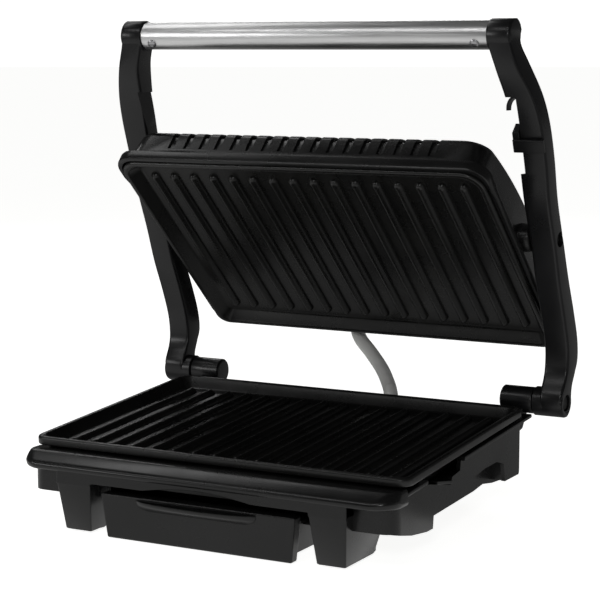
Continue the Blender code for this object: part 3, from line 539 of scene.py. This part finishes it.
def base_fascia():
    """Sloping fascia under the plate's front rim, one smooth section run round its two ends."""
    profile = [
        (119.6, -100.6, 36.0), (120.4, -101.2, 36.5), (120.9, -101.7, 37.4), (121.1, -101.9, 38.6),
        (121.0, -101.4, 39.8), (120.8, -99.4, 41.4), (120.5, -96.6, 43.2), (120.2, -94.2, 44.5),
        (119.8, -92.6, 45.1), (119.0, -91.4, 45.3),
    ]
    bm = bmesh.new()
    rings = []
    for hx, y0, z in profile:
        radius = 14.0 - 8.0 * max(0.0, (z - 38.6) / 6.8)
        rings.append(at_height(rounded(hx, y0, -80.0, radius, 1.0), z))
    loft(bm, rings)
    piece("base_fascia", bm, BASE, SHELL, "base", angle=60.0)


def base_apron():
    """Panel above the tray with the finger scoop in its lower edge."""
    outline = [(-93.8, 38.0), (-93.8, 28.6), (-70.8, 28.6), (-70.5, 30.9), (-35, 30.9)]
    outline += [(-35 + 70 * k / 24, 30.9 + 3.6 * math.sin(math.pi * k / 24)) for k in range(1, 24)]
    outline += [(35, 30.9), (70.5, 30.9), (70.8, 28.6), (93.8, 28.6), (93.8, 38.0)]
    bm = bmesh.new()
    loft(bm, [[(x, y, z) for x, z in outline] for y in (-100.9, -90.6)])
    piece("base_apron", bm, BASE, SHELL, "base", bevel=0.5)


def leg(side, word):
    """Front leg with soft edges, narrower and further back at the bottom."""
    def ring(x0, x1, y0, y1, z, radius):
        points = []
        corners = (
            (x1 - radius, y1 - radius, 0), (x0 + radius, y1 - radius, 90),
            (x0 + radius, y0 + radius, 180), (x1 - radius, y0 + radius, 270),
        )
        for cx, cy, start in corners:
            for k in range(5):
                a = math.radians(start + 90 * k / 4)
                points.append((side * (cx + radius * math.cos(a)), cy + radius * math.sin(a), z))
        return points

    bm = bmesh.new()
    loft(bm, [
        ring(72.8, 91.6, -98.2, -40.0, 28.0, 0.8), ring(75.2, 89.6, -94.2, -55.0, 3.6, 0.8),
        ring(75.2, 89.6, -94.2, -55.0, 1.9, 0.8), ring(74.0, 90.6, -95.2, -61.0, 1.4, 0.9),
        ring(73.4, 91.2, -95.9, -60.6, 2.0, 0.9), ring(70.6, 93.8, -100.8, -50.5, 30.4, 0.9),
        ring(70.6, 93.8, -100.9, -50.5, 36.0, 0.9),
    ])
    piece(f"base_leg_{word}", bm, BASE, SHELL, "base", angle=50.0)


def side_flange(side, word):
    """Rounded ledge along the top of the side wall."""
    bm = bmesh.new()
    section = []
    soft_r = 0.7
    right, low = WALL - soft_r, soft_r - WALL
    for cx, cz, start in ((right, -soft_r, 0), (-1.4, -soft_r, 90), (-1.4, low, 180), (right, low, 270)):
        for k in range(5):
            a = math.radians(start + 90 * k / 4)
            section.append((cx + soft_r * math.cos(a), cz + soft_r * math.sin(a)))
    rings = []
    for y in (-83.0, -60.0, -20.0, 20.0, 60.0, 90.0, 96.0, 99.3):
        rings.append([(side * (BODY_HX + u), y, wall_top(y) + v) for u, v in section])
    loft(bm, rings)
    flange = piece(f"base_flange_{word}", bm, BASE, SHELL, "base", angle=50.0)
    if side == 1:
        tool = bmesh.new()
        prism(tool, CATCH_OPENING, 112, 124)
        cut(flange, tool, BASE)


def base_details():
    """Tray rails, wall behind each hand grip and the catch on the right side."""
    for side, word in ((-1, "left"), (1, "right")):
        bm = bmesh.new()
        rings = []
        for y in (-88.0, -12.0):
            top = under_plate(15.8)(y)
            outline = [(66.4, top), (66.4, 20.4), (60.6, 20.4), (60.6, 22.0), (64.8, 22.0), (64.8, top)]
            rings.append([(side * x, y, z) for x, z in outline])
        loft(bm, rings)
        piece(f"base_rail_{word}", bm, BASE, SHELL, "base", bevel=0.3)
        bm = bmesh.new()
        grip = [(14, 24.5), (30, 24.4), (46, 20.4), (64, 17.6), (84, 16.2), (84, 40), (14, 40)]
        prism(bm, grip, 107.0, 109.0)
        box(bm, (108.5, 62.6, 20.2), (116.5, 64.6, 40.0))
        piece(f"base_grip_wall_{word}", mirrored(bm, side), BASE, SHELL, "base")
    bm = bmesh.new()
    prism(bm, [(-38, 38.6), (-17, 34.8), (-17, 36.8), (-38, 40.6)], 114.0, 118.9)
    piece("base_catch", bm, BASE, SHELL, "base", bevel=0.5)


def cable_cover():
    """Hollow box behind the base where the lead comes in and the hose goes out."""
    bm = bmesh.new()
    y0, y1 = BODY_REAR + 0.3, 112.0
    outer = [(-34, y0), (46, y0), (46, y1), (-34, y1)]
    loft(bm, [[(x, y, z) for x, y in outer] for z in (27.0, 52.0)])
    tool = bmesh.new()
    box(tool, (-31.8, y0 - 2, 25.0), (43.8, y1 - 2.2, 49.8))
    cover = piece("rear_cable_cover_fine", bm, BASE, SHELL, "base", ["rear_cable_cover"], bevel=1.2)
    cut_keep_bevel(cover, tool)


def cut_keep_bevel(obj, bm):
    """Apply a cut and put the bevel back on top."""
    settings = [(m.width, m.segments, m.angle_limit) for m in obj.modifiers if m.type == "BEVEL"]
    for mod in list(obj.modifiers):
        obj.modifiers.remove(mod)
    cut(obj, bm, BASE)
    for width, segments, limit in settings:
        mod = obj.modifiers.new("edges", "BEVEL")
        mod.width = width
        mod.segments = segments
        mod.limit_method = "ANGLE"
        mod.angle_limit = limit
        mod.harden_normals = True


def hinge_blocks():
    """Knuckle with a rounded cap, and its stem down to the base."""
    for side, word in ((-1, "left"), (1, "right")):
        bm = bmesh.new()
        knuckle = [
            (100.9, 0.5), (100.9, 6.2), (101.0, 7.0), (101.4, 7.7), (102.0, KNUCKLE_R), (112.0, KNUCKLE_R),
            (121.4, KNUCKLE_R), (121.8, 8.0), (121.9, 7.6),
        ]
        turned(bm, knuckle, "X", (0.0, HINGE_Y, HINGE_Z))
        stem = [
            (BODY_REAR + 0.3, 45.5), (95.4, 46.4), (99.9, 52.0), (HINGE_Y + 6.2, HINGE_Z - 2),
            (HINGE_Y - 5, HINGE_Z), (BODY_REAR + 3.6, 54.5), (BODY_REAR + 0.3, 54.5),
        ]
        prism(bm, stem, 103.0, 116.0)
        node = f"{word}_hinge_block"
        piece(f"{node}_fine", mirrored(bm, side), BASE, SATIN, "base", [node])


# ---- arms ---------------------------------------------------------------------------------------
# Stations up an arm above the hinge axis: front and back edge (y), height, inner and outer face (x).
ARM_STATIONS = (
    (-8.8, 8.4, 7.0, 127.6, 142.2),
    (-3.5, 11.8, 16.0, 127.6, 142.8),
    (-1.2, 15.0, 24.0, 127.6, 143.2),
    (-2.6, 13.2, 37.0, 127.9, 143.5),
    (-9.6, 5.6, 55.0, 127.9, 143.6),
    (-19.4, -4.8, 76.0, 127.9, 143.7),
    (-28.0, -14.8, 99.0, 127.9, 143.8),
    (-39.1, -25.8, 125.0, 127.4, 143.8),
    (-47.5, -34.4, 150.8, 127.0, 144.5),
    (-55.5, -42.0, 172.2, 125.6, 144.0),
    (-62.4, -47.8, 188.2, 123.8, 141.4),
    (-70.3, -53.4, 204.2, 121.0, 135.8),
)


def arm_section(front, back, inner, outer, radius):
    """Rounded oblong across the arm; its outer face flares a little to the back."""
    depth = (back - front).length
    along = (back - front) / depth
    ring = []
    corners = (
        (inner + radius, radius, 180), (outer - radius, radius, 270),
        (outer + 0.6 - radius, depth - radius, 0), (inner + radius, depth - radius, 90),
    )
    for cx, cd, start in corners:
        for k in range(6):
            a = math.radians(start + 90 * k / 5)
            point = front + along * (cd + radius * math.sin(a))
            ring.append((cx + radius * math.cos(a), point.x, point.y))
    return ring


def chord(y, z, radius, degrees):
    """Front and back point, as (y, z, y, z), of the level chord of a circle at an angle above its centre."""
    reach = radius * math.cos(math.radians(degrees))
    rise = radius * math.sin(math.radians(degrees))
    return (y - reach, z + rise, y + reach, z + rise)


def arm_bar(bm):
    """One smooth bar from the barrel round the hinge, up the stations, to the head round the tube."""
    head = (HEAD_INNER, HEAD_OUTER)
    sections = [(*chord(0.0, 0.0, BARREL_R, a), 127.6, 141.6) for a in (-72, -45, -15)]
    for front, back, height, inner, outer in ARM_STATIONS:
        lean = 0.22 * (back - front)
        sections.append((front, height - lean * 0.5, back, height + lean * 0.5, inner, outer))
    sections += [(*chord(TUBE.y, TUBE.z, HEAD_R, a), *head) for a in (-30, 20)]
    dense = []
    for i in range(len(sections) - 1):
        last = len(sections) - 1
        quad = [sections[max(i - 1, 0)], sections[i], sections[i + 1], sections[min(i + 2, last)]]
        for k in range(5):
            dense.append([between(a, b, c, d, k / 5) for a, b, c, d in zip(*quad)])
    dense.append(sections[-1])
    dense += [(*chord(TUBE.y, TUBE.z, HEAD_R, a), *head) for a in (40, 58, 72, 84)]
    rings = []
    for y0, z0, y1, z1, inner, outer in dense:
        front, back = Vector((y0, z0)), Vector((y1, z1))
        radius = min(2.0, (back - front).length * 0.35)
        rings.append(arm_section(front, back, inner, outer, radius))
    loft(bm, rings)


def make_arms():
    """Both arms with their barrels, collars and tube plugs, and the hook on the right one."""
    for side, word in ((-1, "left"), (1, "right")):
        bm = bmesh.new()
        arm_bar(bm)
        arm = piece(f"{word}_arm_fine", mirrored(bm, side), ARM, SATIN, "arms", [f"{word}_arm"])
        tool = bmesh.new()
        box(tool, (110, -80, ARM_NOTCH_Z[0]), (ARM_NOTCH_X[side], -10, ARM_NOTCH_Z[1]))
        cut(arm, mirrored(tool, side), ARM)
        tool = bmesh.new()
        turned(tool, [(138.6, 5.2), (150.0, 5.2)], "X", (0, 0, 0))
        cut(arm, mirrored(tool, side), ARM)
        tool = bmesh.new()
        turned(tool, [(139.4, 4.6), (150.0, 4.6)], "X", (0, PIVOT_DY, PIVOT_DZ))
        cut(arm, mirrored(tool, side), ARM)
        bm = bmesh.new()
        barrel = [
            (122.3, 7.6), (122.4, 8.4), (122.9, BARREL_R), (141.2, BARREL_R), (141.9, 8.7), (142.2, 8.0),
            (142.3, 6.4), (141.6, 5.4), (139.4, 5.2),
        ]
        turned(bm, barrel, "X", (0, 0, 0), bore=HINGE_BORE)
        piece(f"{word}_barrel", mirrored(bm, side), ARM, SATIN, "arms", angle=50.0)
        bm = bmesh.new()
        collar = [
            (116.9, 7.4), (116.9, 9.2), (117.5, HEAD_R), (128.4, HEAD_R), (130.0, 9.3), (130.9, 8.9),
            (131.2, 8.2), (131.2, 3.2),
        ]
        turned(bm, collar, "X", (0, TUBE.y, TUBE.z), bore=3.0)
        piece(f"{word}_collar", mirrored(bm, side), ARM, SATIN, "arms", angle=50.0)
        bm = bmesh.new()
        turned(bm, [(100.0, 6.9), (117.2, 6.9)], "X", (0, TUBE.y, TUBE.z))
        piece(f"{word}_tube_plug", mirrored(bm, side), ARM, SATIN, "arms")
    bm = bmesh.new()
    hook = curve_through([(131.0, 187.4), (128.4, 187.0), (126.2, 185.2), (125.0, 182.4), (124.8, 179.4)], 5)
    rings = []
    for i, point in enumerate(hook):
        ahead = (hook[min(i + 1, len(hook) - 1)] - hook[max(i - 1, 0)]).normalized()
        offset = Vector((-ahead.y, ahead.x)) * (0.9 - 0.5 * i / (len(hook) - 1))
        low, high = point - offset, point + offset
        front, back = -60.5, -55.0
        rings.append([
            (low.x, front, low.y), (high.x, front, high.y), (high.x, back, high.y), (low.x, back, low.y),
        ])
    loft(bm, rings)
    piece("right_arm_claw", bm, ARM, SATIN, "arms")


def make_handle():
    """Brushed tube with softened ends, and a slotted screw at each end."""
    bm = bmesh.new()
    end = [(-TUBE_END, TUBE_R - 0.25), (0.2 - TUBE_END, TUBE_R - 0.05), (0.5 - TUBE_END, TUBE_R)]
    wall = end + [(-along, radius) for along, radius in reversed(end)]
    turned(bm, wall, "X", (0, TUBE.y, TUBE.z), sides=96, bore=TUBE_R - 0.9)
    piece("handle_tube_fine", bm, ARM, STEEL, "arms", ["handle_tube"])
    for side, word in ((-1, "left"), (1, "right")):
        bm = bmesh.new()
        head = [(-1.3, 0.3), (-1.25, 1.4), (-0.9, 2.3), (-0.4, 2.8), (0.5, 2.8)]
        x = side * SCREW_X
        skin = TUBE.y - TUBE_R
        turned(bm, head, "Y", (x, skin, TUBE.z), sides=32)
        turn = Matrix.Rotation(SCREW_TURN, 3, "X")
        bmesh.ops.rotate(bm, cent=TUBE, matrix=turn, verts=bm.verts)
        screw = piece(f"{word}_handle_screw_fine", bm, ARM, ZINC, "arms", [f"{word}_handle_screw"])
        tool = bmesh.new()
        box(tool, (x - 1.7, skin - 3.0, TUBE.z - 0.35), (x + 1.7, skin - 0.5, TUBE.z + 0.35))
        bmesh.ops.rotate(tool, cent=TUBE, matrix=turn, verts=tool.verts)
        cut(screw, tool, ARM)


def make_latch():
    """Lock slider: a band across the arm's front and a block that rides in its notch."""
    below, above = ARM_STATIONS[8], ARM_STATIONS[9]
    lean = math.atan2(below[0] - above[0], above[2] - below[2])
    local = ARM @ Matrix.Translation((0.0, CLIP_Y, CLIP_Z)) @ Matrix.Rotation(lean, 4, "X")
    bm = bmesh.new()
    box(bm, (126.2, -4.0, -4.0), (145.1, -1.6, 4.0))
    box(bm, (126.6, -4.4, 2.6), (144.7, -3.8, 3.8))
    block = [(-3.0, -3.6), (10.0, -3.6), (10.0, 7.0), (4.0, 11.0), (-3.0, 8.0)]
    prism(bm, block, 126.2, ARM_NOTCH_X[1] - 0.3)
    piece("latch_slider_fine", bm, local, SATIN, "latch", ["latch_slider"], bevel=0.35)


# ---- lid ----------------------------------------------------------------------------------------
def lid_edge(y):
    """Height of the flange's lower edge: deep in front, short behind."""
    return -2.5 if y < -70 else (1.2 if y > 76 else -1.4)


def crown(base, rise):
    """Height of an arch from front to back."""
    return lambda y: base + rise * (1.0 - (y / 92.0) ** 2)


def lid_shell():
    """Crowned shell with a stepped flange that is deeper along the front."""
    def ring(hx, y0, y1, rf, rr, height):
        return at_height(rounded(hx, y0, y1, rf, rr, 14, 24), height)

    def flange(low, front):
        return lambda y: lid_edge(y) + (front if y < -70 else low)

    rings = [
        ring(80.0, -50.0, 50.0, 10, 9, 37.6),
        ring(98.0, -66.0, 64.0, 10, 9, crown(26.0, 10.0)),
        ring(115.2, -83.8, 81.4, 10, 8, crown(18.0, 13.5)),
        ring(119.8, -85.2, 85.2, 6, 6, 7.0),
        ring(122.4, -87.8, 85.4, 12, 5.8, 2.4),
        ring(122.6, -88.0, 85.4, 12, 5.8, lid_edge),
        ring(124.4, -89.6, 87.9, 13, 8, lid_edge),
        ring(125.0, -90.3, 88.2, 13, 8, flange(0.5, 0.4)),
        ring(125.2, -90.6, 88.4, 13, 8, flange(1.4, 1.2)),
        ring(125.2, -90.6, 88.4, 13, 8, flange(3.6, 6.0)),
        ring(124.9, -90.3, 88.2, 13, 8, flange(4.4, 6.9)),
        ring(124.2, -89.6, 87.8, 13, 8, flange(4.8, 7.4)),
        ring(121.0, -87.6, 86.8, 12, 8, flange(5.2, 7.7)),
        ring(120.4, -87.0, 86.0, 12, 8, flange(6.0, 8.6)),
        ring(118.6, -86.6, 84.4, 13, 8, crown(17.6, 14.4)),
        ring(117.6, -86.0, 83.6, 13, 8, crown(20.0, 14.6)),
        ring(116.0, -84.6, 82.2, 13, 8, crown(21.3, 14.4)),
        ring(113.0, -81.5, 79.0, 13, 9, crown(22.7, 14.0)),
        ring(107.0, -75.0, 73.0, 12, 9, crown(25.2, 12.6)),
        ring(100.0, -68.0, 66.0, 11, 9, crown(28.5, 10.8)),
        ring(90.0, -58.0, 58.0, 10, 9, crown(32.6, 7.4)),
        ring(80.0, -50.0, 50.0, 10, 9, 40.0),
    ]
    bm = bmesh.new()
    loft(bm, rings)
    shell = piece("lid_shell", bm, LID, SHELL, "lid", ["lid_housing"], angle=40.0)
    for x in (-LENS_X, LENS_X):
        tool = bmesh.new()
        turned(tool, [(30.0, 3.3), (46.0, 3.3)], "Z", (x, LENS_Y, 0.0), sides=24)
        cut(shell, tool, LID)
    tool = bmesh.new()
    box(tool, (HOSE_LID_X - 9, 78.0, 13.0), (HOSE_LID_X + 9, 92.0, 19.0))
    cut(shell, tool, LID)
    return shell


def lid_notches(shell):
    """Row of shallow cooling notches over the top edge of the lid's front wall."""
    outline = [
        (-95, 9.5), (-85.7, 9.5), (-85.4, 19.0), (-84.0, 21.0),
        (-80.6, 23.4), (-76.0, 26.4), (-76, 40), (-95, 40),
    ]
    for k in range(NOTCH_COUNT):
        x = (k - (NOTCH_COUNT - 1) / 2) * NOTCH_PITCH
        tool = bmesh.new()
        prism(tool, outline, x - NOTCH_HALF, x + NOTCH_HALF)
        cut(shell, tool, LID)


def lid_bosses():
    """Bearing lugs on the lid's sides with the pivot pin's bush."""
    for side, word in ((-1, "left"), (1, "right")):
        bm = bmesh.new()
        lug = [(114.0, 9.0), (125.9, 8.4), (126.9, 7.9), (127.3, 7.0)]
        turned(bm, lug, "X", (0.0, PIVOT_S, PIVOT_H), bore=2.9)
        piece(f"lid_boss_{word}", mirrored(bm, side), LID, SHELL, "lid", angle=50.0)


def lid_cover():
    """Hollow cover on the lid's back wall where the hose comes in."""
    x0, x1 = HOSE_LID_X - 15.0, HOSE_LID_X + 15.0
    bm = bmesh.new()
    prism(bm, [(87.9, 10.0), (104.5, 10.0), (104.5, 20.0), (101.5, 23.0), (84.5, 23.0)], x0, x1)
    cover = piece("lid_cable_cover_fine", bm, LID, SHELL, "lid", ["lid_cable_cover"])
    tool = bmesh.new()
    box(tool, (x0 + 2, 80.0, 12.0), (x1 - 2, 102.3, 21.0))
    cut(cover, tool, LID)
    tool = bmesh.new()
    turned(tool, [(5.0, 6.0), (15.0, 6.0)], "Z", (HOSE_LID_X, HOSE_LID_S, 0.0))
    cut(cover, tool, LID)


# ---- tray ---------------------------------------------------------------------------------------
def make_tray():
    """Basin with a wide lipped front and a crescent finger grip."""
    def ring(hx, y0, y1, z):
        return at_height(rounded(hx, y0, y1, 2.0, 4.0, 6), z)

    bm = bmesh.new()
    loft(bm, [
        ring(53.6, -93.0, -20.8, 4.8), ring(56.8, -93.0, -17.8, 25.6),
        ring(58.6, -95.0, -16.0, 25.6), ring(58.8, -95.0, -15.8, 24.2),
        ring(63.6, -95.0, -15.0, 24.0), ring(63.6, -95.0, -15.0, 22.4),
        ring(58.6, -95.0, -16.0, 22.4), ring(55.6, -95.0, -19.0, 3.0),
    ])
    piece("drip_tray_fine", bm, BASE, SHELL, "tray", ["drip_tray"])

    bm = bmesh.new()
    loft(bm, [
        [(-60.0, -99.5, 0.8), (60.0, -99.5, 0.8), (60.0, -92.8, 0.8), (-60.0, -92.8, 0.8)],
        [(-62.9, -101.4, 26.9), (62.9, -101.4, 26.9), (62.9, -92.8, 26.9), (-62.9, -92.8, 26.9)],
    ])
    piece("tray_face", bm, BASE, SHELL, "tray", bevel=1.1, segments=4)

    bm = bmesh.new()
    rings = []
    profile = (
        (19.4, 0.3, 33.0), (20.6, 3.2, 36.0), (21.8, 5.8, 38.0), (23.2, 7.5, 39.0),
        (24.6, 8.2, 39.2), (25.3, 8.0, 39.0), (25.5, 7.2, 38.4),
    )
    for z, out, half in profile:
        angles = [math.pi * k / 36 for k in range(37)]
        arc = [(half * math.cos(a), -100.6 - out * math.sin(a), z) for a in angles]
        rings.append(arc + [(-half, -98.0, z), (half, -98.0, z)])
    loft(bm, rings)
    piece("tray_grip", bm, BASE, SHELL, "tray", angle=50.0)


# ---- hose ---------------------------------------------------------------------------------------
def make_hose():
    """Silver wiring hose in two stretches, so that each crosses one joint."""
    def base_point(x, y, z):
        return BASE @ Vector((x, y, z))

    def lid_point(height):
        return LID @ Vector((HOSE_LID_X, HOSE_LID_S, height))

    route = [
        base_point(HOSE_X, HOSE_Y, 47.0), base_point(HOSE_X, HOSE_Y, 54.6), base_point(22.0, 103.6, 60.0),
        base_point(15.6, 112.6, 64.4), base_point(5.4, 125.0, 70.2), base_point(-9.0, 138.4, 77.8),
        base_point(-19.6, 145.4, 84.4), lid_point(5.6), lid_point(12.0),
    ]
    path = curve_through(route, 10)
    join = 22
    bm = bmesh.new()
    swept(bm, path[:join + 1], HOSE_R)
    lower = piece("wiring_hose_lower", bm, Matrix.Identity(4), HOSE, None, ["wiring_hose"])
    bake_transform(lower)
    bm = bmesh.new()
    swept(bm, path[join:], HOSE_R)
    upper = piece("wiring_hose_upper", bm, Matrix.Identity(4), HOSE, None)
    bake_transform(upper)


# ---- carried-over nodes -------------------------------------------------------------------------
def dress_nodes():
    """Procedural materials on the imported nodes; the pins are blackened."""
    looks = {
        "shell": SHELL, "arm": SATIN, "coat": COAT, "steel": STEEL, "zinc": ZINC, "sheet": SHEET,
        "heater": HEATER, "hose": HOSE, "rubber": RUBBER, "ceramic": CERAMIC, "red": RED, "green": GREEN,
    }
    for row in frame["record"]["subparts"]:
        obj = NODES[row["node"]]
        obj.data.materials.clear()
        dark = row["node"].endswith("_pin")
        obj.data.materials.append(DARK_ZINC if dark else looks[row["material_slot"]])


# ---- studio -------------------------------------------------------------------------------------
def studio():
    """Pale floor, cards for reflections, a white dome for the camera's view, lights and camera."""
    def sheet(name, bm, mat):
        mesh = bpy.data.meshes.new(name)
        bm.to_mesh(mesh)
        bm.free()
        mesh.materials.append(mat)
        obj = bpy.data.objects.new(name, mesh)
        bpy.context.scene.collection.objects.link(obj)
        return obj

    def flat(name, x, y, z, mat):
        bm = bmesh.new()
        corners = ((x[0], y[0], z), (x[1], y[0], z), (x[1], y[1], z), (x[0], y[1], z))
        bm.faces.new([bm.verts.new(p) for p in corners])
        return sheet(name, bm, mat)

    wide = (-FLOOR_SIZE, FLOOR_SIZE)
    floor = flat("studio_floor", wide, wide, 0.0, glowing("look_floor", FLOOR_GLOW))
    floor.visible_glossy = False
    front_look = glowing("look_front_card", FRONT_CARD, 0.0)
    side_look = glowing("look_side_card", SIDE_CARD, 0.0)
    cards = (
        flat("front_card", (-0.7, 0.3), (-0.9, 0.0), -0.0005, front_look),
        flat("side_card", wide, wide, -0.001, side_look),
    )
    for card in cards:
        card.visible_camera = False
        card.visible_diffuse = False
        card.visible_shadow = False
    bm = bmesh.new()
    bmesh.ops.create_icosphere(bm, subdivisions=4, radius=FLOOR_SIZE * 0.9)
    dome = sheet("studio_dome", bm, glowing("look_dome", DOME_GLOW, 0.0))
    dome.visible_diffuse = False
    dome.visible_glossy = False
    dome.visible_transmission = False
    dome.visible_shadow = False

    world = bpy.data.worlds.new("studio")
    world.use_nodes = True
    world.node_tree.nodes["Background"].inputs["Color"].default_value = (1.0, 1.0, 1.0, 1.0)
    world.node_tree.nodes["Background"].inputs["Strength"].default_value = WORLD_LIGHT
    bpy.context.scene.world = world

    def area(name, where, towards, size, power):
        data = bpy.data.lights.new(name, "AREA")
        data.shape = "RECTANGLE"
        data.size, data.size_y = size
        data.energy = power
        obj = bpy.data.objects.new(name, data)
        obj.location = where
        obj.rotation_euler = (Vector(towards) - Vector(where)).to_track_quat("-Z", "Y").to_euler()
        obj.visible_camera = False
        bpy.context.scene.collection.objects.link(obj)

    area("front_strip", (-0.35, -1.1, 1.25), (0.0, 0.0, 0.2), (1.4, 0.14), 3.0)
    area("front_spot", (0.55, -1.15, 0.55), (0.0, 0.0, 0.1), (0.2, 0.2), 2.0)
    area("tube_card", (-0.95, -0.95, 0.44), (0.0, -0.05, 0.28), (0.6, 0.25), 2.6)
    area("tube_strip", (-0.75, 0.2, 1.2), (0.0, -0.05, 0.28), (0.9, 0.2), 1.5)
    area("back_strip", (-0.9, 1.2, 0.9), (0.0, 0.0, 0.1), (1.0, 0.2), 2.0)

    data = bpy.data.cameras.new("camera")
    data.lens = 113.18
    data.sensor_width = 36.0
    data.clip_end = 100.0
    camera = bpy.data.objects.new("camera", data)
    right = Vector((0.88071, 0.47366, 0.0))
    up = Vector((-0.06233, 0.11590, 0.99130))
    ahead = Vector((-0.46954, 0.87305, -0.13159))
    turn = Matrix((right, up, -ahead)).transposed().to_4x4()
    camera.matrix_world = Matrix.Translation((0.535557, -0.973810 + PLATE_Y * MM, 0.278542)) @ turn
    bpy.context.scene.collection.objects.link(camera)
    bpy.context.scene.camera = camera
    bpy.context.scene.view_settings.view_transform = "Standard"


# ---- assembly -----------------------------------------------------------------------------------
dress_nodes()
make_plate("lower_plate", PLATE, "base", PLATE_HY, PLATE_R)
make_plate("upper_plate", LID_PLATE, "lid", UPPER_FRONT, UPPER_CORNER)
base_walls()
base_floor()
base_fascia()
base_apron()
for direction, side_word in ((-1, "left"), (1, "right")):
    leg(direction, side_word)
    side_flange(direction, side_word)
base_details()
cable_cover()
hinge_blocks()
make_arms()
make_handle()
make_latch()
lid_notches(lid_shell())
lid_bosses()
lid_cover()
make_tray()
make_hose()
studio()
